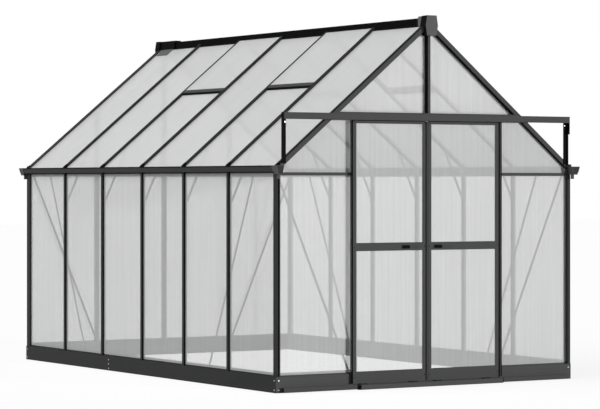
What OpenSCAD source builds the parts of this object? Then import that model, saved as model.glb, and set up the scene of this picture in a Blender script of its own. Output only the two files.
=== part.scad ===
// Polycarbonate greenhouse with a pitched roof, four roof vents and a pair of
// sliding doors that hang from a head rail in front of the front gable.
// Origin: centre of the footprint at ground level. +X is the right-hand wall,
// the doors face -Y, and +Z is up. Lengths are in millimetres.

/* [Footprint] */
// Width over the base plates
base_w = 2420; // [2300:10:2600]
// Length over the base plates
base_l = 3786; // [3786:620:5026]
// Height of the base plates
base_h = 106; // [90:1:120]
// Distance between the centres of the wall posts
bay = 620; // [620:1:640]

/* [Roof] */
// Height where the outer faces of the two roof slopes would meet
apex_z = 2484; // [2450:1:2520]
// Slope of the roof, in degrees
slope = 39.3; // [38.5:0.1:39.5]
// Bays of each slope that have a vent, counted from 0 at the front
vent_bays = [1, 3];
// Horizontal distance from the ridge's middle to the lower edge of a vent's sheet
vent_x = 503; // [450:1:650]

/* [Glazing] */
// Thickness of the twin-wall sheets
sheet_t = 6; // [4:1:6]
// Thickness of the aluminium walls of the profiles
wall = 3; // [2:0.5:3]

/* [Doors] */
// Width of one door leaf
leaf_w = 586; // [540:1:590]
// Thickness of a door leaf
leaf_t = 18; // [16:0.5:18]
// Top of a door leaf above the ground
leaf_top = 1792; // [1780:1:1792]
// Offset of the closed doors' meeting line from the centre line
meeting_x = -33.5; // [-40:0.5:0]
// Half length of the head rail and of the bottom track
rail_half = 1170; // [1150:1:1190]
// Radius of a door roller
roller_r = 11; // [9:0.5:12]

/* [Hidden] */

// Colours
frame_colour = "#3a3b3d";
plastic_colour = "#4a4b4d";
sheet_colour = [0.88, 0.9, 0.9, 0.45];
black = "#17181a";

// Wall planes: the long walls stand a little inside the base plates, and the
// outer faces of the gables a little outside them
half_l = base_l / 2;
half_w = base_w / 2;
side_x = half_w - 8;
gable_y = half_l + 5.5;
seat_half = 16;
bolt_slot = 6;
cap_half = 12.5;
n_bays = round(2 * (gable_y - 25) / bay);
post_ys = [for (i = [1 : n_bays - 1]) (i - n_bays / 2) * bay];

// Glazing depths, measured inwards from the outer face of a member
side_sheet = 13;
roof_sheet = 15;
wall_sheet = 26;
gable_sheet = 36.5;
groove = 6;
side_groove = 4.5;
edge_gap = 1.5;
sheet_fit = 0.05;
bar_edge = 3;
reach = groove - edge_gap;
seat_t = wall;

// Gable members. The sheets of the walls stand nearer the outside than those of
// the front triangle, and the rafters lie a little below the bars' caps.
corner_x = 22;
gable_d = 53.5;
corner_face_y = gable_y - gable_d;
gable_glass_y = gable_y - gable_sheet;
wall_glass_y = gable_y - wall_sheet;
rafter_top = 6;
rafter_foot = 36;
roof_lap = gable_glass_y - corner_face_y - edge_gap;
king_w = 20;
back_post_x = 605;

// Eaves
eave_z = 1452;
gutter_top_z = 1492;
gutter_out_x = side_x + 40;
gutter_foot_x = side_x + 27;
beam_wall_x = side_x - 26;
eave_flange_drop = 27;
bar_h = 20;
bar_z = 1427;
bar_recess = 13.5;

// Braces
brace_w = 16;

// Base plates
flange_in = 60;
upstand_h = 24;
base_joint_y = 500;

// Ridge
ridge_half = 20;
ridge_top_z = apex_z + 15.5;
ridge_foot_z = apex_z - 71;
ridge_end_y = half_l + 12;
cap_top_z = apex_z + 29;
cap_mid_z = apex_z - 39;
cap_foot_z = apex_z - 108;
cap_front_y = half_l + 40;
collar_y = half_l - 63;

// Vents
vent_top = 1;
vent_bar = 12;
vent_sill_w = 21;
vent_inset = 13.5;
vent_web_x = vent_x + 12;

// Doors
rail_front_y = -half_l - 38;
rail_back_y = -gable_y;
rail_z0 = 1797;
rail_z1 = 1841;
header_z1 = 1850;
rail_t = 2.5;
slot_w = 13;
strut_t = 3;
leaf_front_y = -half_l - 29;
leaf_mid_y = leaf_front_y + leaf_t / 2;
leaf_z0 = 40;
leaf_wall = 2.5;
stile_w = 17;
stile_lip = 8;
stile_back_lip = 6;
leaf_sheet_d = 2.5;
top_rail_h = 16;
mid_rail_z0 = 924;
mid_rail_z1 = 975;
kick_z1 = 119;
track_z0 = 3;
track_h = 34;
jamb_in = 585;
jamb_out = 604;
left_leaf_x = meeting_x - 10 - leaf_w;
right_leaf_x = meeting_x + 10;
roller_gap = 0.4;
hanger_inset = 90;

// ---------------------------------------------------------------- helpers

// Depth of a glazing bar, from its cap to the end of its bolt slot
function bar_depth(sheet_d) = sheet_d + sheet_t + seat_t + bolt_slot;

// Height of the roof line at x, with depth d below the outer faces
function roof_z(x, d = 0) = apex_z - tan(slope) * x - d / cos(slope);

// Distance down the slope of the point at x that lies at depth d
function slope_s(x, d = 0) = (x + d * sin(slope)) / cos(slope);

// Ends of each bay along Y, kept clear of the bars and of the corner members
function bay_edges(bar_clear, corner_clear) = [
    for (i = [0 : n_bays - 1]) [
        i == 0 ? -corner_face_y + corner_clear : post_ys[i - 1] + bar_clear,
        i == n_bays - 1 ? corner_face_y - corner_clear : post_ys[i] - bar_clear
    ]
];

// Whether the bay with this number has a vent
function is_vent(i) = len(search(i, vent_bays)) > 0;

// Mirror a piece to the left-hand side
module left_side() mirror([1, 0, 0]) children();

// A piece and its mirror image across the centre line
module both_sides() {
    children();
    mirror([1, 0, 0]) children();
}

// A piece and its mirror image from the front gable to the back gable
module both_ends() {
    children();
    mirror([0, 1, 0]) children();
}

// Local X along the ridge, local -Y as depth below the slope, local Z down it
module on_roof() {
    translate([0, 0, apex_z]) rotate([0, slope, 0]) rotate([90, 0, 90]) children();
}

// Lay a section drawn in X and Z along Y, from y0 to y1
module along_y(y0, y1) {
    translate([0, y1, 0]) rotate([90, 0, 0]) linear_extrude(y1 - y0) children();
}

// Lay a section drawn in Y and Z along X, from x0 to x1
module along_x(x0, x1) {
    translate([x0, 0, 0]) rotate([90, 0, 90]) linear_extrude(x1 - x0) children();
}

// Box between two corners
module box(a, b) {
    translate(a) cube(b - a);
}

// Rectangle between two corners
module rect(a, b) {
    translate(a) square(b - a);
}

// Space below the roof's faces at depth d, between the two gables
module under_roof(d) {
    far = side_x + 100;
    along_y(-half_l - 100, half_l + 100)
        polygon([[0, roof_z(0, d)], [far, roof_z(far, d)], [far, -10],
                 [-far, -10], [-far, roof_z(far, d)]]);
}

// Hollow rectangular section
module tube_2d(w, h, t) {
    difference() {
        square([w, h]);
        translate([t, t]) square([w - 2 * t, h - 2 * t]);
    }
}

// ---------------------------------------------------------------- sections

// Glazing bar: a cap outside the sheets, and a seat inside them with a bolt
// slot on its back. X is across the bar, -Y is the depth from its face.
module bar_2d(sheet_d) {
    seat = sheet_d + sheet_t;
    back = seat + seat_t;
    slot_end = bar_depth(sheet_d);
    rect([-cap_half, -wall], [cap_half, 0]);
    for (side = [-1, 1]) {
        rect([side * (cap_half - 1.5) - 1.5, -sheet_d], [side * (cap_half - 1.5) + 1.5, 0]);
    }
    rect([-1.5, -back], [1.5, 0]);
    rect([-seat_half, -back], [seat_half, -seat]);
    for (side = [-1, 1]) {
        rect([side * 7.75 - 1.25, -slot_end], [side * 7.75 + 1.25, -back]);
        rect([side * 6 - 3, -slot_end], [side * 6 + 3, -slot_end + 2]);
    }
}

// Gable member: a tube in front of the sheets and a spine with grooves for them
// at depths sheet_a and sheet_b, 0 for none. X is across, from the middle, and Y
// is the depth from the face.
module gable_bar_2d(w, dep, sheet_a, sheet_b) {
    tube_d = sheet_a > 0 ? min(sheet_a, sheet_b) : sheet_b;
    difference() {
        translate([-w / 2, 0]) {
            tube_2d(w, tube_d, wall);
            rect([0, tube_d - wall], [w, dep]);
        }
        if (sheet_a > 0) {
            rect([-w / 2 - 1, sheet_a], [-w / 2 + groove, sheet_a + sheet_t]);
        }
        rect([w / 2 - groove, sheet_b], [w / 2 + 1, sheet_b + sheet_t]);
    }
}

// Base plate: web outside, flanges turned in. X is the distance inwards.
module base_2d() {
    square([wall, base_h]);
    square([flange_in, wall]);
    translate([0, base_h - wall]) square([flange_in, wall]);
}

// ---------------------------------------------------------------- base

// Mitred length of base plate along Y, at the +X side
module base_side_length(y0, y1) {
    intersection() {
        along_y(y0, y1) translate([half_w, 0]) mirror([1, 0]) base_2d();
        linear_extrude(base_h)
            polygon([[half_w, -half_l], [half_w, half_l],
                     [half_w - flange_in, half_l - flange_in],
                     [half_w - flange_in, -half_l + flange_in]]);
    }
}

// Upstand and outer lip that hold the foot of the side sheets, between posts
module side_foot_channel() {
    for (bay_ys = bay_edges(seat_half + 1, 1)) {
        y0 = bay_ys[0];
        y1 = bay_ys[1];
        inner = side_x - side_sheet - sheet_t;
        box([inner - wall, y0, base_h], [inner, y1, base_h + upstand_h]);
        box([inner + sheet_t, y0, base_h], [inner + sheet_t + 2, y1, base_h + 8]);
    }
}

// The long side's base, in two lengths that meet beside a post
module base_side() {
    difference() {
        union() {
            base_side_length(-half_l, half_l);
            side_foot_channel();
        }
        box([half_w - flange_in - 1, base_joint_y, -1],
            [half_w + 1, base_joint_y + 0.5, base_h + upstand_h + 1]);
    }
}

module base_left() color(frame_colour) left_side() base_side();

module base_right() color(frame_colour) base_side();

// A gable's base plate with mitred ends
module base_gable() {
    intersection() {
        along_x(-half_w, half_w) translate([-half_l, 0]) base_2d();
        linear_extrude(base_h)
            polygon([[-half_w, -half_l], [half_w, -half_l],
                     [half_w - flange_in, -half_l + flange_in],
                     [-half_w + flange_in, -half_l + flange_in]]);
    }
}

// Channel for the foot of the gable sheets from x0 to x1
module gable_foot_channel(x0, x1) {
    glass = -wall_glass_y;
    box([x0, glass + sheet_t, base_h], [x1, glass + sheet_t + wall, base_h + upstand_h]);
    box([x0, glass - 2, base_h], [x1, glass, base_h + 8]);
}

module base_front() {
    color(frame_colour) {
        base_gable();
        both_sides() gable_foot_channel(jamb_out + 1, side_x - corner_x - 1);
    }
}

module base_back() {
    half = king_w / 2 + 1;
    color(frame_colour) mirror([0, 1, 0]) {
        base_gable();
        both_sides() {
            gable_foot_channel(half, back_post_x - half);
            gable_foot_channel(back_post_x + half, side_x - corner_x - 1);
        }
    }
}

// Angle plates inside the corners and splice plates behind the side joints
module base_brackets() {
    t = wall;
    arm = 50;
    z0 = wall + 5;
    z1 = base_h - wall - 5;
    inner_x = half_w - wall;
    inner_y = half_l - wall;
    color(frame_colour) both_sides() {
        both_ends() {
            box([inner_x - t, inner_y - arm, z0], [inner_x, inner_y, z1]);
            box([inner_x - arm, inner_y - t, z0], [inner_x - t + 0.1, inner_y, z1]);
        }
        box([inner_x - t, base_joint_y - arm, z0], [inner_x, base_joint_y + arm, z1]);
    }
}

// ---------------------------------------------------------------- walls

module corner_post() {
    side_in = corner_x - side_sheet;
    translate([side_x - corner_x, -gable_y, base_h])
        linear_extrude(eave_z - base_h) difference() {
            union() {
                tube_2d(corner_x, wall_sheet, wall);
                rect([0, wall_sheet - wall], [corner_x, gable_d]);
            }
            rect([-1, wall_sheet], [groove, wall_sheet + sheet_t]);
            rect([side_in - sheet_t, gable_d - side_groove], [side_in, gable_d + 1]);
        }
}

// Corner posts. The ones at the left in front and at the right behind have the
// bolt slot of their section on the gable's side.
module corner_posts() {
    color(frame_colour) difference() {
        both_sides() both_ends() corner_post();
        for (turn = [0, 180]) {
            rotate([0, 0, turn])
                box([-side_x + 4, -gable_y - 1, base_h - 1],
                    [-side_x + 13, -gable_y + wall + 1, eave_z + 1]);
        }
    }
}

// Row of glazing bars that carries the side wall
module side_posts() {
    for (y = post_ys) {
        translate([side_x, y, base_h]) rotate([0, 0, -90])
            linear_extrude(eave_z - base_h) bar_2d(side_sheet);
    }
}

module left_wall_posts() color(frame_colour) left_side() side_posts();

module right_wall_posts() color(frame_colour) side_posts();

// Upright of a gable from z0 up to the rafters, with sheets at depth sheet_at
module gable_upright(x, z0, sheet_at) {
    intersection() {
        translate([x, -gable_y, z0])
            linear_extrude(ridge_foot_z - z0)
                gable_bar_2d(king_w, gable_d, sheet_at, sheet_at);
        under_roof(rafter_foot + sheet_fit);
    }
}

module gable_posts() {
    color(frame_colour) {
        gable_upright(0, header_z1, gable_sheet);
        mirror([0, 1, 0]) {
            gable_upright(0, base_h, wall_sheet);
            both_sides() gable_upright(back_post_x, base_h, wall_sheet);
        }
    }
}

module door_jambs() {
    w = jamb_out - jamb_in;
    color(frame_colour) both_sides() {
        translate([jamb_in + w / 2, -gable_y, base_h])
            linear_extrude(rail_z0 - base_h) gable_bar_2d(w, gable_d, 0, wall_sheet);
        box([jamb_in, -gable_y, track_h], [jamb_out, -half_l, base_h + 1]);
    }
}

// Lay a gable member along X, from x0 to x1 and from z0 to z1, with its face at
// depth face_d and its sheets at depth above_d above it and wall_sheet below it
module gable_cross_bar(x0, x1, z0, z1, face_d, above_d) {
    translate([x0, face_d - gable_y, (z0 + z1) / 2]) rotate([90, 0, 90])
        linear_extrude(x1 - x0) rotate(-90)
            gable_bar_2d(z1 - z0, gable_d - face_d, above_d - face_d, wall_sheet - face_d);
}

// Header behind the head rail, with a taller lip inside the gable's sheets
module door_header() {
    lip_h = 12;
    lip_y = -gable_glass_y + sheet_t;
    color(frame_colour) intersection() {
        union() {
            gable_cross_bar(-side_x, side_x, rail_z0, header_z1, 0, gable_sheet);
            both_sides() box([king_w / 2 + 1, lip_y, header_z1 - 1],
                             [side_x, lip_y + wall, header_z1 + lip_h]);
        }
        under_roof(rafter_foot + sheet_fit);
    }
}

// Eave-level bar of a gable between two uprights
module eave_bar(x0, x1) {
    gable_cross_bar(x0, x1, bar_z, bar_z + bar_h, bar_recess, wall_sheet);
}

module eave_bars() {
    color(frame_colour) {
        both_sides() eave_bar(jamb_out, side_x - corner_x);
        mirror([0, 1, 0]) both_sides() {
            eave_bar(king_w / 2, back_post_x - king_w / 2);
            eave_bar(back_post_x + king_w / 2, side_x - corner_x);
        }
    }
}

// ---------------------------------------------------------------- eaves

// Gutter with the eave channel that takes the tops of the side sheets
module gutter() {
    post_top = side_x - bar_depth(side_sheet) - 2;
    wall_x = beam_wall_x;
    roof_seat = roof_sheet + sheet_t;
    inner = side_x - side_sheet - sheet_t;
    curl = 4;
    difference() {
        along_y(-gable_y, gable_y) {
            rect([post_top, eave_z], [gutter_foot_x, eave_z + wall]);
            polygon([[wall_x, eave_z], [wall_x + wall, eave_z],
                     [wall_x + wall, roof_z(wall_x + wall, roof_seat)],
                     [wall_x, roof_z(wall_x, roof_seat)]]);
            polygon([[gutter_foot_x - wall, eave_z], [gutter_foot_x, eave_z],
                     [gutter_out_x, gutter_top_z], [gutter_out_x - wall, gutter_top_z]]);
            rect([gutter_out_x - wall - curl, gutter_top_z - wall],
                 [gutter_out_x - 1, gutter_top_z]);
        }
        both_ends() box([post_top - 1, corner_face_y, eave_z - 1],
                        [wall_x, gable_y + 1, eave_z + wall + 1]);
    }
    for (bay_ys = bay_edges(seat_half + 1, 1)) {
        box([inner - wall, bay_ys[0], eave_z - eave_flange_drop],
            [inner, bay_ys[1], eave_z + 1]);
        box([inner + sheet_t, bay_ys[0], eave_z - 10],
            [inner + sheet_t + 2, bay_ys[1], eave_z + 1]);
    }
}

module left_gutter() color(frame_colour) left_side() gutter();

module right_gutter() color(frame_colour) gutter();

// Moulded end of a gutter with its outlet spout
module gutter_end_cap() {
    end_y = -half_l - 57;
    drop = 17;
    outlet_x = side_x + 3;
    outlet_y = -half_l - 26;
    foot_x = gutter_foot_x - drop * (gutter_out_x - gutter_foot_x) / (gutter_top_z - eave_z);
    difference() {
        union() {
            along_y(end_y, -gable_y)
                polygon([[side_x - 22, gutter_top_z], [gutter_out_x + 3, gutter_top_z],
                         [foot_x + 3, eave_z - drop], [side_x - 11, eave_z - drop]]);
            along_y(end_y - 4, -gable_y + 10)
                polygon([[gutter_out_x, gutter_top_z], [gutter_out_x + 3, gutter_top_z],
                         [gutter_foot_x + 3, eave_z], [gutter_foot_x, eave_z]]);
            translate([outlet_x, outlet_y, eave_z - drop - 30]) cylinder(h = 31, d = 24, $fn = 48);
            box([side_x - 22, -half_l - 43, gutter_top_z - 1],
                [side_x - 18, -half_l - 15, gutter_top_z + 15]);
        }
        along_y(end_y + wall, -gable_y + 1)
            polygon([[side_x - 18, gutter_top_z + 1], [gutter_out_x - wall, gutter_top_z + 1],
                     [foot_x, eave_z - drop + wall], [side_x - 8, eave_z - drop + wall]]);
        translate([outlet_x, outlet_y, eave_z - drop - 31]) cylinder(h = 40, d = 18, $fn = 48);
    }
}

module gutter_end_caps() color(plastic_colour) both_sides() both_ends() gutter_end_cap();

// ---------------------------------------------------------------- roof

// Keep a rafter between the ridge and the eave. The part inside the sheets
// stops on the gutter's inner wall, the part outside them runs over it.
module trim_rafter() {
    seat = roof_sheet + sheet_t;
    intersection() {
        children();
        along_y(-half_l - 100, half_l + 100)
            polygon([[ridge_half, eave_z], [beam_wall_x, eave_z],
                     [beam_wall_x, roof_z(beam_wall_x, seat)],
                     [side_x - 2, roof_z(side_x - 2, seat)],
                     [side_x - 2, apex_z], [ridge_half, apex_z]]);
    }
}

// Row of glazing bars that carries one slope
module rafters() {
    for (y = post_ys) {
        trim_rafter() translate([0, y, 0]) on_roof()
            linear_extrude(slope_s(side_x, bar_depth(roof_sheet))) bar_2d(roof_sheet);
    }
}

module left_rafters() color(frame_colour) left_side() rafters();

module right_rafters() color(frame_colour) rafters();

// Section of a gable's sloping edge member: a tube in front, grooves for the
// gable's sheets below it, and a lip over and a seat under the roof sheet
module gable_rafter_2d() {
    seat = roof_sheet + sheet_t;
    difference() {
        union() {
            translate([0, -rafter_foot]) tube_2d(wall_sheet, rafter_foot - rafter_top, wall);
            rect([wall_sheet - wall, -seat], [gable_sheet + groove, -rafter_top]);
            rect([wall_sheet - wall, -rafter_foot], [gable_d, -seat]);
        }
        for (at = [wall_sheet, gable_sheet]) {
            rect([at, -rafter_foot - 1], [at + sheet_t, -rafter_foot + groove]);
        }
        rect([gable_sheet, -seat], [gable_d, -roof_sheet]);
    }
}

module gable_rafter() {
    trim_rafter() translate([0, -gable_y, 0]) on_roof()
        linear_extrude(slope_s(side_x, rafter_foot)) gable_rafter_2d();
}

module gable_rafters() color(frame_colour) both_sides() both_ends() gable_rafter();

// Strip along Y whose section lies between two roof depths and two x values
module roof_strip(x0, x1, d0, d1, y0, y1) {
    along_y(y0, y1)
        polygon([[x0, roof_z(x0, d0)], [x1, roof_z(x1, d0)],
                 [x1, roof_z(x1, d1)], [x0, roof_z(x0, d1)]]);
}

// Ridge with channels for the fixed sheets and a hinge lip over each vent
module ridge() {
    seat = roof_sheet + sheet_t;
    in_x = ridge_half - 1;
    color(frame_colour) {
        along_y(-ridge_end_y, ridge_end_y)
            translate([-ridge_half, ridge_foot_z])
                tube_2d(2 * ridge_half, ridge_top_z - ridge_foot_z, wall);
        both_sides() for (i = [0 : n_bays - 1]) {
            ys = bay_edges(seat_half + 1, 1)[i];
            if (is_vent(i)) {
                roof_strip(in_x, ridge_half + 9, -2, vent_top - 0.5, ys[0], ys[1]);
            } else {
                roof_strip(in_x, ridge_half + 18, seat, seat + wall, ys[0], ys[1]);
                roof_strip(in_x, ridge_half + 12, roof_sheet - wall, roof_sheet, ys[0], ys[1]);
            }
        }
    }
}

// Moulded cap on the end of the ridge, with a saddle that hugs the ridge
module ridge_end_cap() {
    half_top = 38;
    half_mid = 49;
    saddle_foot = apex_z - 14;
    difference() {
        union() {
            along_y(-cap_front_y, -gable_y)
                polygon([for (side = [1, -1]) each [
                    [side * half_top, side > 0 ? cap_foot_z : cap_top_z],
                    [side * half_mid, cap_mid_z],
                    [side * half_top, side > 0 ? cap_top_z : cap_foot_z]
                ]]);
            along_y(-gable_y - 1, -collar_y)
                rect([-ridge_half - 3, saddle_foot], [ridge_half + 3, ridge_top_z + 3]);
        }
        box([-ridge_half, -ridge_end_y, ridge_foot_z],
            [ridge_half, -gable_y + 1, ridge_top_z]);
        box([-ridge_half, -gable_y, saddle_foot - 1],
            [ridge_half, -collar_y + 1, ridge_top_z]);
    }
}

module ridge_end_caps() color(plastic_colour) both_ends() ridge_end_cap();

// ---------------------------------------------------------------- vents

// Rectangle of bars below the vent's sheet, with a drip bar along its lower edge
module vent_frame(y0, y1) {
    d0 = vent_top + sheet_t;
    d1 = roof_sheet + sheet_t - sheet_fit;
    x0 = ridge_half + 5;
    ya = y0 + vent_inset;
    yb = y1 - vent_inset;
    difference() {
        roof_strip(x0, vent_x, d0, d1, ya, yb);
        roof_strip(x0 + vent_bar, vent_x - vent_bar, d0 - 1, d1 + 1,
                   ya + vent_bar, yb - vent_bar);
    }
    along_y(ya, yb)
        polygon([[vent_x - 1, roof_z(vent_x - 1, d0)], [vent_x, roof_z(vent_x, d0)],
                 [vent_x, roof_z(vent_x, -1)],
                 [vent_x + vent_sill_w, roof_z(vent_x + vent_sill_w, 2)],
                 [vent_x + vent_sill_w, roof_z(vent_x + vent_sill_w, 11.5)],
                 [vent_x - 1, roof_z(vent_x - 1, 11.5)]]);
}

// Sheet of a vent, flush with the caps of the bars beside it
module vent_sheet(y0, y1) {
    roof_strip(ridge_half + 2, vent_x - sheet_fit, vent_top, vent_top + sheet_t - sheet_fit,
               y0 + vent_inset, y1 - vent_inset);
}

// Cross bar below a vent that holds the upper edge of the sheet beneath it
module vent_sill(y0, y1) {
    seat = roof_sheet + sheet_t;
    x = vent_web_x;
    lip = 12;
    slot_side = 9.5;
    ya = y0 + seat_half + 1;
    yb = y1 - seat_half - 1;
    roof_strip(vent_x + 3, x + 4, seat + wall + sheet_fit, seat + wall + 4,
               y0 + slot_side, y1 - slot_side);
    roof_strip(x, x + wall, roof_sheet - wall, seat + wall + 1, ya, yb);
    roof_strip(x, x + lip, roof_sheet - wall, roof_sheet, ya, yb);
    roof_strip(x, x + lip, seat, seat + wall, ya, yb);
}

// Run a child for every vented bay of both slopes with $y0 and $y1 set
module each_vent() {
    both_sides() for (i = vent_bays) {
        $y0 = post_ys[i - 1];
        $y1 = post_ys[i];
        children();
    }
}

module vent_frames() color(frame_colour) each_vent() vent_frame($y0, $y1);

module vent_sheets() color(sheet_colour) each_vent() vent_sheet($y0, $y1);

module vent_sills() color(frame_colour) each_vent() vent_sill($y0, $y1);

// ---------------------------------------------------------------- braces

// Flat bar in the plane of a wall between two points of that plane
module flat_bar_2d(a, b) {
    dir = (b - a) / norm(b - a);
    n = [-dir[1], dir[0]] * brace_w / 2;
    polygon([a + n, b + n, b - n, a - n]);
}

module wall_braces() {
    color(frame_colour) both_sides() both_ends() {
        intersection() {
            along_x(side_x - bar_depth(side_sheet) - wall, side_x - bar_depth(side_sheet))
                flat_bar_2d([-1560, eave_z + 22], [-926, base_h - 22]);
            box([0, -half_l, base_h], [side_x, half_l, eave_z]);
        }
        intersection() {
            along_y(-corner_face_y, -corner_face_y + wall)
                flat_bar_2d([1174, bar_z + 14], [600, base_h - 22]);
            box([0, -half_l, base_h], [side_x - 25, 0, bar_z + bar_h]);
        }
    }
}

// Braces that lie against the sides of the bars' bolt slots
module knee_braces() {
    foot = [side_x - side_sheet - sheet_t - seat_t - brace_w / 2, 1255];
    top_x = 1010;
    top_d = roof_sheet + sheet_t + seat_t + brace_w / 2;
    color(frame_colour) both_sides() for (y = post_ys) {
        along_y(y - 9 - wall, y - 9) flat_bar_2d(foot, [top_x, roof_z(top_x, top_d)]);
    }
}

// ---------------------------------------------------------------- sheets

module side_wall_sheets() {
    outer = side_x - side_sheet;
    for (ys = bay_edges(bar_edge, -side_groove + edge_gap)) {
        box([outer - sheet_t + sheet_fit, ys[0], base_h],
            [outer - sheet_fit, ys[1], eave_z - 1]);
    }
}

module left_wall_sheets() color(sheet_colour) left_side() side_wall_sheets();

module right_wall_sheets() color(sheet_colour) side_wall_sheets();

// Gable sheet from x0 to x1 and from z0 to z1, cut along the roof line, with its
// face at glass_y
module gable_sheet_piece(x0, x1, z0, z1, glass_y) {
    difference() {
        intersection() {
            box([x0, -glass_y + sheet_fit, z0], [x1, -glass_y + sheet_t - sheet_fit, z1]);
            under_roof(rafter_foot - groove + edge_gap);
        }
        box([-1, -half_l, ridge_foot_z - 1], [ridge_half + 1, half_l, apex_z]);
        box([beam_wall_x - 0.5, -half_l, eave_z - 0.5], [side_x, half_l, apex_z]);
    }
}

// Sheets of a wall bay between uprights, below and above its eave bar
module gable_bay(x0, x1, top_z) {
    gable_sheet_piece(x0 - reach, x1 + reach, base_h, bar_z + reach, wall_glass_y);
    gable_sheet_piece(x0 - reach, x1 + reach, bar_z + bar_h - reach, top_z, wall_glass_y);
}

module front_wall_sheets() {
    color(sheet_colour) both_sides()
        gable_bay(jamb_out, side_x - corner_x, rail_z0 + reach);
}

module front_gable_sheets() {
    color(sheet_colour) both_sides()
        gable_sheet_piece(king_w / 2 - reach, side_x, header_z1 - reach, apex_z, gable_glass_y);
}

module back_wall_sheets() {
    half = king_w / 2;
    color(sheet_colour) mirror([0, 1, 0]) both_sides() {
        gable_bay(half, back_post_x - half, apex_z);
        gable_bay(back_post_x + half, side_x - corner_x, apex_z);
    }
}

module slope_sheets() {
    for (i = [0 : n_bays - 1]) {
        ys = bay_edges(bar_edge, -roof_lap)[i];
        top_x = is_vent(i) ? vent_web_x + wall + 1 : ridge_half + 1;
        roof_strip(top_x, side_x - 7, roof_sheet + sheet_fit, roof_sheet + sheet_t - sheet_fit,
                   ys[0], ys[1]);
    }
}

module left_roof_sheets() color(sheet_colour) left_side() slope_sheets();

module right_roof_sheets() color(sheet_colour) slope_sheets();

// ---------------------------------------------------------------- sliding gear

// Head rail: a channel whose lips carry the rollers and leave a slot below
module door_head_rail() {
    y0 = rail_front_y;
    y1 = rail_back_y;
    t = rail_t;
    color(frame_colour) along_x(-rail_half, rail_half) {
        rect([y0, rail_z0], [y0 + t, rail_z1]);
        rect([y1 - t, rail_z0], [y1, rail_z1]);
        rect([y0, rail_z1 - t], [y1, rail_z1]);
        rect([y0, rail_z0], [leaf_mid_y - slot_w / 2, rail_z0 + t]);
        rect([leaf_mid_y + slot_w / 2, rail_z0], [y1, rail_z0 + t]);
    }
}

// Angle that ties the end of the head rail to the foot of the gable rafter
module rail_end_strut() {
    foot_z = 1505;
    wide_z = 1717;
    flange = 31;
    box([rail_half, rail_front_y, wide_z], [rail_half + strut_t, rail_back_y, rail_z1]);
    box([rail_half, rail_front_y + 16, foot_z], [rail_half + strut_t, rail_back_y, wide_z + 1]);
    box([rail_half - flange, rail_back_y - strut_t, foot_z],
        [rail_half + 1, rail_back_y, rail_z0]);
}

module rail_end_struts() color(frame_colour) both_sides() rail_end_strut();

// Bottom track that the guide shoes run in
module bottom_track() {
    y0 = rail_front_y;
    y1 = -half_l;
    t = rail_t;
    color(frame_colour) along_x(-rail_half, rail_half) {
        rect([y0, track_z0], [y1, track_z0 + t]);
        rect([y0, track_z0], [y0 + t, track_h]);
        rect([y1 - t, track_z0], [y1, track_h]);
    }
}

// Step in front of the doorway with its ends cut at 45 degrees
module threshold() {
    half = 580;
    d = 19;
    color(frame_colour) linear_extrude(track_h - 2)
        polygon([[-half - d, rail_front_y], [-half, rail_front_y - d],
                 [half, rail_front_y - d], [half + d, rail_front_y]]);
}

// ---------------------------------------------------------------- doors

// Section of a leaf member: a tube with a channel along one or both edges.
// X is across the member and Y is the depth from its face.
module leaf_bar_2d(w, lip_a, lip_b) {
    t = leaf_wall;
    back = leaf_sheet_d + sheet_t;
    tube_2d(w, leaf_t, t);
    if (lip_a) {
        rect([-stile_lip, 0], [1, t]);
        rect([-stile_back_lip, back], [1, back + t]);
    }
    if (lip_b) {
        rect([w - 1, 0], [w + stile_lip, t]);
        rect([w - 1, back], [w + stile_back_lip, back + t]);
    }
}

// Horizontal member of a leaf from z0, with a tube h tall
module leaf_rail(x0, z0, h, lip_down, lip_up) {
    inset = stile_w + stile_lip;
    translate([x0 + inset, leaf_front_y, z0]) rotate([90, 0, 90])
        linear_extrude(leaf_w - 2 * inset)
            mirror([1, -1]) leaf_bar_2d(h, lip_down, lip_up);
}

// Stiles, rails and the kick rail of one leaf whose left edge is at x0
module door_frame(x0) {
    color(frame_colour) {
        translate([x0, leaf_front_y, leaf_z0]) linear_extrude(leaf_top - leaf_z0) {
            leaf_bar_2d(stile_w, false, true);
            translate([leaf_w, 0]) mirror([1, 0]) leaf_bar_2d(stile_w, false, true);
        }
        leaf_rail(x0, leaf_top - top_rail_h + stile_lip, top_rail_h - stile_lip, true, false);
        leaf_rail(x0, mid_rail_z0 + stile_lip, mid_rail_z1 - mid_rail_z0 - 2 * stile_lip,
                  true, true);
        leaf_rail(x0, leaf_z0, kick_z1 - leaf_z0 - stile_lip, false, true);
    }
}

// The two sheets of a leaf, below and above its middle rail
module door_sheets(x0) {
    x_edge = stile_w + 1;
    y0 = leaf_front_y + leaf_sheet_d + sheet_fit;
    z_ranges = [
        [kick_z1 - stile_lip, mid_rail_z0 + stile_lip - 1],
        [mid_rail_z1 - stile_lip, leaf_top - top_rail_h + stile_lip - 1]
    ];
    color(sheet_colour) for (zs = z_ranges) {
        box([x0 + x_edge, y0, zs[0]],
            [x0 + leaf_w - x_edge, y0 + sheet_t - 2 * sheet_fit, zs[1]]);
    }
}

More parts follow.
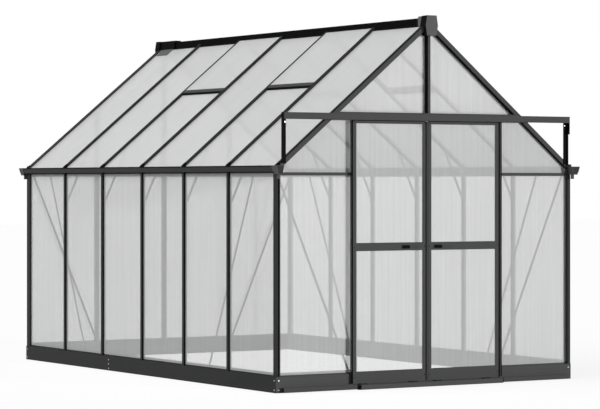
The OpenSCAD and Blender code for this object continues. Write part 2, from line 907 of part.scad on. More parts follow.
// Hanger plate with a pin and twin rollers that run on the head rail's lips
module hanger(x) {
    pin_z = rail_z0 + rail_t + roller_gap + roller_r;
    plate_t = 3;
    front = leaf_mid_y - slot_w / 2 - 5;
    back = leaf_mid_y + slot_w / 2 + 4;
    box([x - 30, leaf_mid_y - 5, leaf_top], [x + 30, leaf_mid_y + 5, leaf_top + 3]);
    box([x - 25, leaf_mid_y - plate_t / 2, leaf_top + 2],
        [x + 25, leaf_mid_y + plate_t / 2, pin_z + 6]);
    translate([x, back, pin_z]) rotate([90, 0, 0]) {
        cylinder(h = back - front, r = 3, $fn = 32);
        cylinder(h = 4, r = roller_r, $fn = 64);
    }
    translate([x, front + 4, pin_z]) rotate([90, 0, 0])
        cylinder(h = 4, r = roller_r, $fn = 64);
}

// Shoe under a leaf that runs in the bottom track
module guide_shoe(x) {
    box([x - 25, leaf_mid_y - 5, track_z0 + rail_t + 6], [x + 25, leaf_mid_y + 5, leaf_z0]);
}

// Hangers and guide shoes of one leaf
module door_rollers(x0) {
    color(plastic_colour) for (x = [x0 + hanger_inset, x0 + leaf_w - hanger_inset]) {
        hanger(x);
        guide_shoe(x);
    }
}

// Pull handle: a raised block with a finger recess and a flat tail
module door_handle(x0) {
    z0 = 935;
    h = 23;
    block_l = 61;
    pull_l = 30;
    plate_l = 76;
    edge = 4;
    y = leaf_front_y;
    color(plastic_colour) difference() {
        union() {
            box([x0, y - 8, z0], [x0 + block_l, y, z0 + h]);
            box([x0 + block_l - 1, y - 3, z0 + 3], [x0 + block_l + plate_l, y, z0 + h - 3]);
        }
        box([x0 + edge, y - 9, z0 + edge], [x0 + edge + pull_l, y - 1.5, z0 + h - edge]);
    }
}

module left_door_frame() door_frame(left_leaf_x);

module left_door_sheets() door_sheets(left_leaf_x);

module left_door_rollers() door_rollers(left_leaf_x);

module left_door_handle() door_handle(left_leaf_x + 391);

module right_door_frame() {
    door_frame(right_leaf_x);
    color(frame_colour) box([right_leaf_x - 11, leaf_front_y + 3, leaf_z0],
                            [right_leaf_x, leaf_front_y + leaf_t - 3, leaf_top]);
}

module right_door_sheets() door_sheets(right_leaf_x);

module right_door_rollers() door_rollers(right_leaf_x);

module right_door_handle() door_handle(right_leaf_x + 48);

// ---------------------------------------------------------------- output

base_front();
base_back();
base_left();
base_right();
base_brackets();
corner_posts();
left_wall_posts();
right_wall_posts();
gable_posts();
door_jambs();
door_header();
eave_bars();
left_gutter();
right_gutter();
gutter_end_caps();
ridge();
ridge_end_caps();
gable_rafters();
left_rafters();
right_rafters();
wall_braces();
knee_braces();
left_wall_sheets();
right_wall_sheets();
front_wall_sheets();
front_gable_sheets();
back_wall_sheets();
left_roof_sheets();
right_roof_sheets();
vent_frames();
vent_sheets();
vent_sills();
door_head_rail();
rail_end_struts();
bottom_track();
threshold();
left_door_frame();
left_door_sheets();
left_door_rollers();
left_door_handle();
right_door_frame();
right_door_sheets();
right_door_rollers();
right_door_handle();
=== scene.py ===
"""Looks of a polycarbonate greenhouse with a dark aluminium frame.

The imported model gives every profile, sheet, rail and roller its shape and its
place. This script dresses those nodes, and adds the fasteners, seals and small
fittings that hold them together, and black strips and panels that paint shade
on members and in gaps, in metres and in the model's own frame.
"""

import logging
import math
from dataclasses import dataclass
from enum import Enum
from typing import Any, Iterable, Optional, Sequence, Union

import bmesh
import bpy
from mathutils import Matrix, Vector

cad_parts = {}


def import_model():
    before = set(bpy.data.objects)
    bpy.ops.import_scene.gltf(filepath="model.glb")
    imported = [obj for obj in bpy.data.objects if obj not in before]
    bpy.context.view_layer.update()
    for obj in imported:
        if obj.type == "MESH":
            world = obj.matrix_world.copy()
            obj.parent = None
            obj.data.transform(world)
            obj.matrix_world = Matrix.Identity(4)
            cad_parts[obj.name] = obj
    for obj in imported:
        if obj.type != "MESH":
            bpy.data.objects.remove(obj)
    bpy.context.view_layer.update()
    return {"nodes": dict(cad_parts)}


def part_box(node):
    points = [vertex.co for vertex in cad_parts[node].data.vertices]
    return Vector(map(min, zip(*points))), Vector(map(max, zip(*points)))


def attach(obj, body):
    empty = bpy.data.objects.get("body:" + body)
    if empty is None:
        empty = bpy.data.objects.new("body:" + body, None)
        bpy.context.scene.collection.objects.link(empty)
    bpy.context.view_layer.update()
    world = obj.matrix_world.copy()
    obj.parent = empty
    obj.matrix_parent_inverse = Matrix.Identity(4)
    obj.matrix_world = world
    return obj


LOG = logging.getLogger("greenhouse")
MM = 0.001
Colour = tuple[float, float, float]
Point = tuple[float, float, float]
Pair = tuple[float, float]

# Left and right, or front and back
SIDES = (-1, 1)
FORWARD: Point = (0.0, -1.0, 0.0)


class Body(Enum):
    """The rigid bodies that a piece can ride on."""

    HOUSE = "house"
    LEFT_DOOR = "left_door"
    RIGHT_DOOR = "right_door"


class Slot(Enum):
    """Names of material slots, passed with each added piece; nothing reads them."""

    FRAME = "frame_coating"
    BASE = "base_coating"
    RAIL = "rail_coating"
    MOULDED = "moulded_plastic"
    ROLLER = "roller_plastic"
    HANDLE = "handle_plastic"


class Flutes(Enum):
    """The axis across the flutes of a twin-wall sheet."""

    ALONG_X = "X"
    ALONG_Y = "Y"


# ------------------------------------------------------------------ shader tools


class Sock:
    """A shader socket that can be used in Python arithmetic."""

    def __init__(self, graph: "ShaderGraph", socket: bpy.types.NodeSocket) -> None:
        """Keep the graph and the socket that carries the value."""
        self.graph = graph
        self.socket = socket

    def _math(self, operation: str, a: Any, b: Any = None) -> "Sock":
        """Add one Math node.

        Args:
            operation: the Math node's operation.
            a: first value or socket.
            b: second value or socket, if the operation takes one.

        Returns:
            The node's result.
        """
        values = {0: a} if b is None else {0: a, 1: b}
        return self.graph.node("ShaderNodeMath", {"operation": operation}, values)["Value"]

    def __add__(self, other: Any) -> "Sock":
        """Value plus other."""
        return self._math("ADD", self, other)

    def __radd__(self, other: Any) -> "Sock":
        """Other plus value."""
        return self._math("ADD", other, self)

    def __sub__(self, other: Any) -> "Sock":
        """Value minus other."""
        return self._math("SUBTRACT", self, other)

    def __rsub__(self, other: Any) -> "Sock":
        """Other minus value."""
        return self._math("SUBTRACT", other, self)

    def __mul__(self, other: Any) -> "Sock":
        """Value times other."""
        return self._math("MULTIPLY", self, other)

    def __rmul__(self, other: Any) -> "Sock":
        """Other times value."""
        return self._math("MULTIPLY", other, self)

    def __truediv__(self, other: Any) -> "Sock":
        """Value divided by other."""
        return self._math("DIVIDE", self, other)

    def __gt__(self, other: Any) -> "Sock":
        """One where the value is above other, else nought."""
        return self._math("GREATER_THAN", self, other)

    def fract(self) -> "Sock":
        """The value's fractional part."""
        return self._math("FRACT", self)

    def absolute(self) -> "Sock":
        """The value without its sign."""
        return self._math("ABSOLUTE", self)

    def maximum(self, other: Any) -> "Sock":
        """The larger of value and other."""
        return self._math("MAXIMUM", self, other)


class ShaderGraph:
    """The node tree of a material or of the world, with its output node."""

    def __init__(self, owner: Union[bpy.types.Material, bpy.types.World]) -> None:
        """Empty the owner's tree but for an output node.

        Args:
            owner: the material or world.
        """
        owner.use_nodes = True
        self.owner = owner
        self.tree = owner.node_tree
        self.tree.nodes.clear()
        kind = "World" if isinstance(owner, bpy.types.World) else "Material"
        self.output = self.tree.nodes.new(f"ShaderNodeOutput{kind}")

    def node(
        self,
        kind: str,
        settings: Optional[dict[str, Any]] = None,
        inputs: Optional[dict[Union[str, int], Any]] = None,
    ) -> dict[str, Sock]:
        """Add a node.

        Args:
            kind: the node's type.
            settings: its own settings, set before its sockets.
            inputs: values or sockets for its inputs, by name or index.

        Returns:
            Its outputs by name.
        """
        made = self.tree.nodes.new(kind)
        for key, value in (settings or {}).items():
            setattr(made, key, value)
        for key, value in (inputs or {}).items():
            if isinstance(value, Sock):
                self.tree.links.new(value.socket, made.inputs[key])
            else:
                made.inputs[key].default_value = value
        return {o.name: Sock(self, o) for o in made.outputs if o.enabled}

    def mix(self, factor: Sock, a: Colour, b: Colour) -> Sock:
        """Mix two colours, by a factor that is 0 for the first and 1 for the second."""
        values = {"Factor": factor, 6: (*a, 1.0), 7: (*b, 1.0)}
        return self.node("ShaderNodeMix", {"data_type": "RGBA"}, values)["Result"]

    def blend(self, factor: Sock, a: Sock, b: Sock) -> Sock:
        """Mix two shaders, by a factor that is 0 for the first and 1 for the second."""
        return self.node("ShaderNodeMixShader", None, {0: factor, 1: a, 2: b})["Shader"]

    def position(self) -> dict[str, Sock]:
        """The surface point in the object's own coordinates, by axis and as a vector."""
        place = self.node("ShaderNodeTexCoord")["Object"]
        axes = self.node("ShaderNodeSeparateXYZ", None, {0: place})
        return {"vector": place, **axes}

    def noise(self, vector: Sock, scale: float, detail: float = 3.0) -> Sock:
        """Cloudy noise from 0 to 1 at a scale in cells per metre."""
        values = {"Vector": vector, "Scale": scale, "Detail": detail}
        return self.node("ShaderNodeTexNoise", None, values)["Fac"]

    def stretch(self, vector: Sock, scale: Point) -> Sock:
        """A vector scaled along its axes."""
        return self.node("ShaderNodeMapping", None, {"Vector": vector, "Scale": scale})["Vector"]

    def bump(self, height: Sock, depth: float, strength: float = 1.0) -> Sock:
        """A normal from a height of 0 to 1, with its depth in metres."""
        values = {"Height": height, "Distance": depth, "Strength": strength}
        return self.node("ShaderNodeBump", None, values)["Normal"]

    def seen(self) -> Sock:
        """One for what is seen, reflected or seen through, nought for rays that carry light."""
        path = self.node("ShaderNodeLightPath")
        glossy, through = path["Is Glossy Ray"], path["Is Transmission Ray"]
        return path["Is Camera Ray"].maximum(glossy).maximum(through)

    def surface(self, shader: Sock) -> Union[bpy.types.Material, bpy.types.World]:
        """Put a shader on the output and return the owner."""
        self.tree.links.new(shader.socket, self.output.inputs["Surface"])
        return self.owner

    def principled(self, inputs: dict[Union[str, int], Any]) -> bpy.types.Material:
        """Finish the material with a Principled surface that has these inputs."""
        return self.surface(self.node("ShaderNodeBsdfPrincipled", None, inputs)["BSDF"])


def tint(colour: Colour, factor: float) -> Colour:
    """A colour made lighter or darker by a factor."""
    return tuple(min(1.0, channel * factor) for channel in colour)


# ------------------------------------------------------------------ finishes


@dataclass(frozen=True)
class PowderCoat:
    """Matt anthracite powder coat on aluminium, with a fine stipple."""

    name: str
    colour: Colour = (0.056, 0.0565, 0.0575)
    specular: float = 0.07
    roughness: float = 0.6
    cloud_per_m: float = 7.0
    cloud_share: float = 0.6
    line_per_m: float = 12.0
    line_stretch: Point = (40.0, 4.0, 40.0)
    dust: float = 1.3
    roughness_swing: float = 0.16
    stipple_per_m: float = 2600.0
    stipple_depth: float = 0.05 * MM

    def build(self) -> bpy.types.Material:
        """Make the material."""
        graph = ShaderGraph(bpy.data.materials.new(self.name))
        place = graph.position()["vector"]
        clouds = graph.noise(place, self.cloud_per_m)
        stipple = graph.noise(place, self.stipple_per_m, 1.0)
        lines = graph.noise(graph.stretch(place, self.line_stretch), self.line_per_m, 2.0)
        tone = clouds * self.cloud_share + lines * (1.0 - self.cloud_share)
        return graph.principled(
            {
                "Base Color": graph.mix(tone, self.colour, tint(self.colour, self.dust)),
                "Roughness": self.roughness + (tone - 0.5) * self.roughness_swing,
                "Specular IOR Level": self.specular,
                "IOR": 1.5,
                "Normal": graph.bump(stipple, self.stipple_depth),
            }
        )


@dataclass(frozen=True)
class MouldedPlastic:
    """Matt injection-moulded plastic with a spark-eroded grain."""

    name: str
    colour: Colour
    roughness: float = 0.55
    specular: float = 0.1
    flow_per_m: float = 18.0
    pale: float = 1.25
    roughness_swing: float = 0.12
    grain_per_m: float = 1500.0
    grain_depth: float = 0.08 * MM

    def build(self) -> bpy.types.Material:
        """Make the material."""
        graph = ShaderGraph(bpy.data.materials.new(self.name))
        place = graph.position()["vector"]
        grain = graph.noise(place, self.grain_per_m, 2.0)
        flow = graph.noise(place, self.flow_per_m)
        return graph.principled(
            {
                "Base Color": graph.mix(flow, self.colour, tint(self.colour, self.pale)),
                "Roughness": self.roughness + (flow - 0.5) * self.roughness_swing,
                "Specular IOR Level": self.specular,
                "IOR": 1.46,
                "Normal": graph.bump(grain, self.grain_depth),
            }
        )


@dataclass(frozen=True)
class Rubber:
    """Black rubber of the seals and of the strips that paint shade, with fine pores and a faint
    bloom.
    """

    name: str = "black_rubber"
    colour: Colour = (0.005, 0.005, 0.0052)
    roughness: float = 0.75
    specular: float = 0.03
    bloom_per_m: float = 25.0
    dust: float = 1.6
    roughness_swing: float = 0.1
    pores_per_m: float = 1800.0
    pore_depth: float = 0.05 * MM

    def build(self) -> bpy.types.Material:
        """Make the material."""
        graph = ShaderGraph(bpy.data.materials.new(self.name))
        place = graph.position()["vector"]
        bloom = graph.noise(place, self.bloom_per_m)
        pores = graph.noise(place, self.pores_per_m, 1.0)
        return graph.principled(
            {
                "Base Color": graph.mix(bloom, self.colour, tint(self.colour, self.dust)),
                "Roughness": self.roughness + (bloom - 0.5) * self.roughness_swing,
                "Specular IOR Level": self.specular,
                "Normal": graph.bump(pores, self.pore_depth),
            }
        )


@dataclass(frozen=True)
class TwinWallSheet:
    """Clear twin-wall polycarbonate: two thin skins joined by close ribs."""

    name: str
    across: Flutes
    colour: Colour
    alpha: float = 0.335
    rib_alpha: float = 0.16
    rib_pitch: float = 5.8 * MM
    rib_share: float = 0.16
    rib_depth: float = 0.2 * MM
    rib_strength: float = 0.3
    roughness: float = 0.3
    rib_roughness: float = 0.15
    specular: float = 0.12
    streak_per_m: float = 60.0
    streak_draw: float = 0.02
    streak_alpha: float = 0.06
    streak_tint: float = 1.06
    haze_per_m: float = 2.2
    haze_alpha: float = 0.03

    def build(self) -> bpy.types.Material:
        """Make the material."""
        graph = ShaderGraph(bpy.data.materials.new(self.name))
        place = graph.position()
        draw = self.streak_draw
        along = (1.0, draw, draw) if self.across is Flutes.ALONG_X else (draw, 1.0, draw)
        phase = (place[self.across.value] / self.rib_pitch).fract()
        rib = ((phase - 0.5).absolute() > 0.5 - self.rib_share / 2) * 1.0
        streaks = graph.noise(graph.stretch(place["vector"], along), self.streak_per_m)
        haze = graph.noise(place["vector"], self.haze_per_m)
        solid = self.alpha + rib * self.rib_alpha
        cloudy = (streaks - 0.5) * self.streak_alpha + (haze - 0.5) * self.haze_alpha
        return graph.principled(
            {
                "Base Color": graph.mix(
                    streaks, self.colour, tint(self.colour, self.streak_tint)
                ),
                "Roughness": self.roughness + rib * self.rib_roughness,
                "Specular IOR Level": self.specular,
                "IOR": 1.5,
                "Alpha": solid + cloudy,
                "Normal": graph.bump(rib, self.rib_depth, self.rib_strength),
            }
        )


@dataclass(frozen=True)
class ZincSteel:
    """Bright zinc-plated steel of the fasteners."""

    name: str = "zinc_steel"
    colour: Colour = (0.46, 0.46, 0.45)
    roughness: float = 0.34
    spangle_per_m: float = 900.0
    spangle_dark: float = 0.7
    spangle_depth: float = 0.04 * MM
    roughness_swing: float = 0.2

    def build(self) -> bpy.types.Material:
        """Make the material."""
        graph = ShaderGraph(bpy.data.materials.new(self.name))
        spangle = graph.noise(graph.position()["vector"], self.spangle_per_m, 2.0)
        dark = tint(self.colour, self.spangle_dark)
        return graph.principled(
            {
                "Base Color": graph.mix(spangle, self.colour, dark),
                "Metallic": 1.0,
                "Roughness": self.roughness + (spangle - 0.5) * self.roughness_swing,
                "Normal": graph.bump(spangle, self.spangle_depth),
            }
        )


class Palette:
    """Every finish of the greenhouse, built once.

    The coats and the sheets are copies of one anthracite coat and one clear sheet,
    whose colours differ from place to place: members and sheets that face away from
    the key lamp are given darker or paler colours, and the front base plates and the
    head rail lighter ones. These colours are painted shade and painted light.
    """

    def __init__(self) -> None:
        """Build the materials."""
        matt = {"roughness": 0.6, "specular": 0.08}
        self.frame = PowderCoat("frame_powder_coat").build()
        # Wall posts, braces and side base plates: a darker copy of the frame coat, painted shade.
        self.wall = PowderCoat("wall_coat_painted_shade", (0.024, 0.0245, 0.025), 0.1).build()
        # Ridge and vent sills: a near-black copy of the frame coat, painted shade.
        self.roof = PowderCoat("roof_coat_painted_shade", (0.0045, 0.0046, 0.0048), 0.01).build()
        # Rail end struts: a near-black copy of the frame coat, painted shade; the screws and bolts
        # share it.
        self.strut = PowderCoat("strut_coat_painted_shade", (0.005, 0.005, 0.0052), 0.02).build()
        # Gutters: a darker copy of the frame coat, painted shade.
        self.gutter = PowderCoat("gutter_coat_painted_shade", (0.043, 0.0435, 0.0445)).build()
        # Base plates other than the side ones, and the threshold: a lighter copy of the frame
        # coat, painted light.
        self.base = PowderCoat(
            "base_coat_painted_light", (0.066, 0.0665, 0.0675), roughness=0.62
        ).build()
        # Head rail: a lighter copy of the frame coat, painted light.
        self.rail = PowderCoat(
            "rail_coat_painted_light", (0.06, 0.0605, 0.0615), roughness=0.58
        ).build()
        self.caps = MouldedPlastic("cap_plastic", (0.085, 0.0855, 0.087)).build()
        self.gutter_caps = MouldedPlastic("outlet_plastic", (0.09, 0.0905, 0.092)).build()
        self.collar = MouldedPlastic("collar_plastic", (0.13, 0.131, 0.133)).build()
        self.roller = MouldedPlastic("roller_plastic", (0.016, 0.016, 0.016), **matt).build()
        self.handle = MouldedPlastic("handle_plastic", (0.05, 0.0505, 0.0515), **matt).build()
        self.rubber = Rubber().build()
        self.zinc = ZincSteel().build()
        # Long-wall sheets: a paler copy of the gable sheet, painted light.
        self.side_sheet = TwinWallSheet(
            "side_twin_wall_painted_light", Flutes.ALONG_Y, (0.9, 0.905, 0.905)
        ).build()
        self.gable_sheet = TwinWallSheet(
            "gable_twin_wall", Flutes.ALONG_X, (0.79, 0.795, 0.795)
        ).build()
        # Sheets of the front gable's peak: a paler copy of the gable sheet, painted light.
        self.peak_sheet_painted_light = TwinWallSheet(
            "peak_twin_wall_painted_light", Flutes.ALONG_X, (0.95, 0.955, 0.955)
        ).build()
        # Roof sheets: a paler copy of the gable sheet, painted light, and more opaque.
        self.roof_sheet = TwinWallSheet(
            "roof_twin_wall_painted_light", Flutes.ALONG_Y, (0.92, 0.925, 0.925), alpha=0.66, rib_alpha=0.1
        ).build()

    def for_node(self, node: str) -> bpy.types.Material:
        """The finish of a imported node.

        Args:
            node: the node's name.

        Returns:
            The material that dresses it.
        """
        posts = ("left_wall_posts", "right_wall_posts", "corner_posts", "wall_braces")
        gable_sheets = ("front_wall", "back_wall", "left_door", "right_door")
        # Darker and lighter copies of one coat and one sheet go to the nodes by place: painted
        # shade and painted light.
        finishes = [
            (node == "front_gable_sheets", self.peak_sheet_painted_light),
            ("sheets" in node and node.startswith(gable_sheets), self.gable_sheet),
            ("sheets" in node and node.endswith("wall_sheets"), self.side_sheet),
            ("sheets" in node, self.roof_sheet),
            (node == "gutter_end_caps", self.gutter_caps),
            (node == "rail_end_struts", self.strut),
            (node.endswith("caps"), self.caps),
            (node.endswith("rollers"), self.roller),
            (node.endswith("handle"), self.handle),
            (node in (*posts, "base_left", "base_right"), self.wall),
            (node in ("ridge", "vent_sills"), self.roof),
            (node.endswith("gutter"), self.gutter),
            (node.startswith("base_") or node == "threshold", self.base),
            (node == "door_head_rail", self.rail),
        ]
        return next((finish for matches, finish in finishes if matches), self.frame)


# ------------------------------------------------------------------ mesh tools


def add_object(
    name: str, mesh: bmesh.types.BMesh, material: bpy.types.Material
) -> bpy.types.Object:
    """Turn a bmesh into an object of the scene.

    Args:
        name: the object's name.
        mesh: its faces, in metres and in place.
        material: its finish.

    Returns:
        The new object.
    """
    data = bpy.data.meshes.new(name)
    mesh.to_mesh(data)
    mesh.free()
    data.materials.append(material)
    made = bpy.data.objects.new(name, data)
    bpy.context.scene.collection.objects.link(made)
    return made


def oblong(first: Pair, third: Pair) -> list[Pair]:
    """Corners of an oblong in order, from its first corner and its third."""
    return [first, (third[0], first[1]), third, (first[0], third[1])]


class Piece:
    """One mesh of small fittings, while it is made."""

    screw_sides = 20
    # Share of the radius and of the height, from the seat to the socket's floor
    screw_profile = (
        (1.0, 0.0), (1.0, 0.35), (0.86, 0.75), (0.62, 1.0), (0.46, 1.0), (0.44, 0.45),
    )
    # Share of the width and of the height, across a bead
    bead_profile = (
        (-0.5, 0.0), (-0.5, 0.55), (-0.4, 0.88), (-0.22, 1.0),
        (0.22, 1.0), (0.4, 0.88), (0.5, 0.55), (0.5, 0.0),
    )

    def __init__(self) -> None:
        """Start with no faces."""
        self.mesh = bmesh.new()

    def place(
        self, name: str, material: bpy.types.Material, slot: Slot, body: Body = Body.HOUSE
    ) -> None:
        """Put the finished mesh on a body.

        Args:
            name: the piece's name.
            material: its finish.
            slot: the material slot that it belongs to; not used.
            body: what it moves with.
        """
        piece = add_object(name, self.mesh, material)
        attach(piece, body.value)
        LOG.info("%s: %d faces on %s", name, len(piece.data.polygons), body.value)

    def prism(self, outline: Sequence[Point], reach: Point) -> None:
        """Add a solid whose flat outline is carried along a vector.

        Args:
            outline: corners of its first end, in order.
            reach: vector from the first end to the second.
        """
        mesh = self.mesh
        near, far = (
            [mesh.verts.new(Vector(corner) + Vector(offset)) for corner in outline]
            for offset in ((0.0, 0.0, 0.0), reach)
        )
        faces = [mesh.faces.new(near), mesh.faces.new(list(reversed(far)))]
        for i in range(len(outline)):
            j = (i + 1) % len(outline)
            faces.append(mesh.faces.new((near[j], near[i], far[i], far[j])))
        bmesh.ops.recalc_face_normals(mesh, faces=faces)

    def bead(self, start: Point, end: Point, out: Point, width: float, height: float) -> None:
        """Add a rounded strip that lies on a face.

        Args:
            start: middle of its foot at one end.
            end: middle of its foot at the other end.
            out: unit vector away from the face.
            width: width of its foot.
            height: height of its crown.
        """
        origin, normal = Vector(start), Vector(out)
        run = Vector(end) - origin
        across = run.normalized().cross(normal)
        outline = [
            tuple(origin + across * (a * width) + normal * (b * height))
            for a, b in self.bead_profile
        ]
        self.prism(outline, tuple(run))

    def box(self, low: Point, high: Point) -> None:
        """Add a slab between two opposite corners, given in either order."""
        (x0, x1), (y0, y1), (z0, z1) = (sorted(ends) for ends in zip(low, high))
        outline = [(x, y, z0) for x, y in oblong((x0, y0), (x1, y1))]
        self.prism(outline, (0.0, 0.0, z1 - z0))

    def screw(self, seat: Point, out: Point, size: Pair) -> None:
        """Add a domed screw head with a socket.

        Args:
            seat: centre of its seat.
            out: unit vector away from the seat.
            size: radius and height of its head.
        """
        turn = Vector((0, 0, 1)).rotation_difference(Vector(out)).to_matrix().to_4x4()
        spot = Matrix.Translation(Vector(seat)) @ turn
        radius, height = size
        sides, mesh = self.screw_sides, self.mesh
        rings = []
        for share, level in self.screw_profile:
            reach = share * radius
            ring = []
            for i in range(sides):
                angle = 2 * math.pi * i / sides
                rim = (reach * math.cos(angle), reach * math.sin(angle), level * height)
                ring.append(mesh.verts.new(spot @ Vector(rim)))
            rings.append(ring)
        for low, high in zip(rings, rings[1:]):
            for i in range(sides):
                j = (i + 1) % sides
                mesh.faces.new((low[i], low[j], high[j], high[i]))
        mesh.faces.new(rings[-1])
        mesh.faces.new(list(reversed(rings[0])))


# ------------------------------------------------------------------ the house


@dataclass(frozen=True)
class House:
    """Sizes that the fittings share, in metres."""

    apex_z: float = 2484 * MM
    slope_deg: float = 39.3
    bay: float = 620 * MM
    bars: int = 5
    side_x: float = 1202 * MM
    gable_y: float = 1898.5 * MM
    cap_half: float = 12.5 * MM
    cap_t: float = 3 * MM
    side_sheet: float = 13 * MM
    roof_sheet: float = 15 * MM
    wall_sheet: float = 26 * MM
    gable_sheet: float = 36.5 * MM
    rafter_top: float = 6 * MM
    rafter_foot: float = 36 * MM
    rafter_end_x: float = 1200 * MM
    ridge_half: float = 20 * MM
    base_top: float = 106 * MM
    eave_z: float = 1452 * MM
    gutter_top_z: float = 1492 * MM
    header_z0: float = 1797 * MM
    header_z1: float = 1850 * MM
    vent_bays: tuple[int, ...] = (1, 3)
    track_y: float = -1931 * MM
    leaf_w: float = 586 * MM
    leaf_front_y: float = -1922 * MM
    leaf_back_y: float = -1904 * MM
    # Body, left edge and start of the handle of each leaf
    leaves: tuple[tuple[Body, float, float], ...] = (
        (Body.LEFT_DOOR, -629.5 * MM, -238.5 * MM),
        (Body.RIGHT_DOOR, -23.5 * MM, 24.5 * MM),
    )

    @property
    def bar_ys(self) -> list[float]:
        """Positions of the bars along the house."""
        return [(i - (self.bars - 1) / 2) * self.bay for i in range(self.bars)]

    @property
    def slope(self) -> float:
        """Slope of the roof in radians."""
        return math.radians(self.slope_deg)

    def roof_out(self, side: int) -> Point:
        """Unit vector out of the slope on a side."""
        return (side * math.sin(self.slope), 0.0, math.cos(self.slope))

    def roof_z(self, x: float, depth: float = 0.0) -> float:
        """Height at a distance from the centre line and a depth below the slope's face."""
        return self.apex_z - math.tan(self.slope) * x - depth / math.cos(self.slope)

    def roof_x(self, z: float, depth: float) -> float:
        """Distance from the centre line where a depth of the slope has a height."""
        return (self.apex_z - z - depth / math.cos(self.slope)) / math.tan(self.slope)

    def roof_points(self, side: int, y: float, spots: Iterable[Pair]) -> list[Point]:
        """Points of one slope, all at one place along the house.

        Args:
            side: -1 for the left-hand slope and 1 for the right-hand one.
            y: the place along the house.
            spots: distance from the centre line and depth of each point.

        Returns:
            The points, in the same order.
        """
        return [(side * x, y, self.roof_z(x, depth)) for x, depth in spots]


@dataclass
class DressedFrame:
    """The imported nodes, dressed in their finishes."""

    palette: Palette
    nodes: dict[str, bpy.types.Object]

    def build(self) -> None:
        """Give every node its finish."""
        for name, piece in self.nodes.items():
            material = self.palette.for_node(name)
            piece.data.materials.clear()
            piece.data.materials.append(material)
            LOG.info("%s dressed in %s", name, material.name)


@dataclass
class Fitting:
    """What every group of fittings has: the finishes and the house's sizes."""

    palette: Palette
    house: House

    def rubber(
        self, name: str, piece: Piece, body: Body = Body.HOUSE, slot: Slot = Slot.MOULDED
    ) -> None:
        """Put a piece of black rubber on a body."""
        piece.place(name, self.palette.rubber, slot, body)


@dataclass
class BaseFixings(Fitting):
    """Screws in the base plates: at the corners and at the side joints."""

    head: Pair = (5.5 * MM, 3.2 * MM)
    corner_inset: float = 21 * MM
    corner_heights: Pair = (19 * MM, 81 * MM)
    joint_y: float = 491 * MM
    joint_heights: tuple[float, float, float] = (16 * MM, 49 * MM, 80 * MM)

    def build(self) -> None:
        """Add the screws to one mesh."""
        low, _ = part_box("base_left")
        _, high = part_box("base_right")
        piece, inset = Piece(), self.corner_inset
        for side, face_x in ((-1, low.x), (1, high.x)):
            outward = (side, 0, 0)
            for end in SIDES:
                face_y = high.y * end
                for z in self.corner_heights:
                    piece.screw((face_x, face_y - end * inset, z), outward, self.head)
                    piece.screw((face_x - side * inset, face_y, z), (0, end, 0), self.head)
            for z in self.joint_heights:
                piece.screw((face_x, self.joint_y, z), outward, self.head)
        piece.place("base_screws", self.palette.zinc, Slot.BASE)


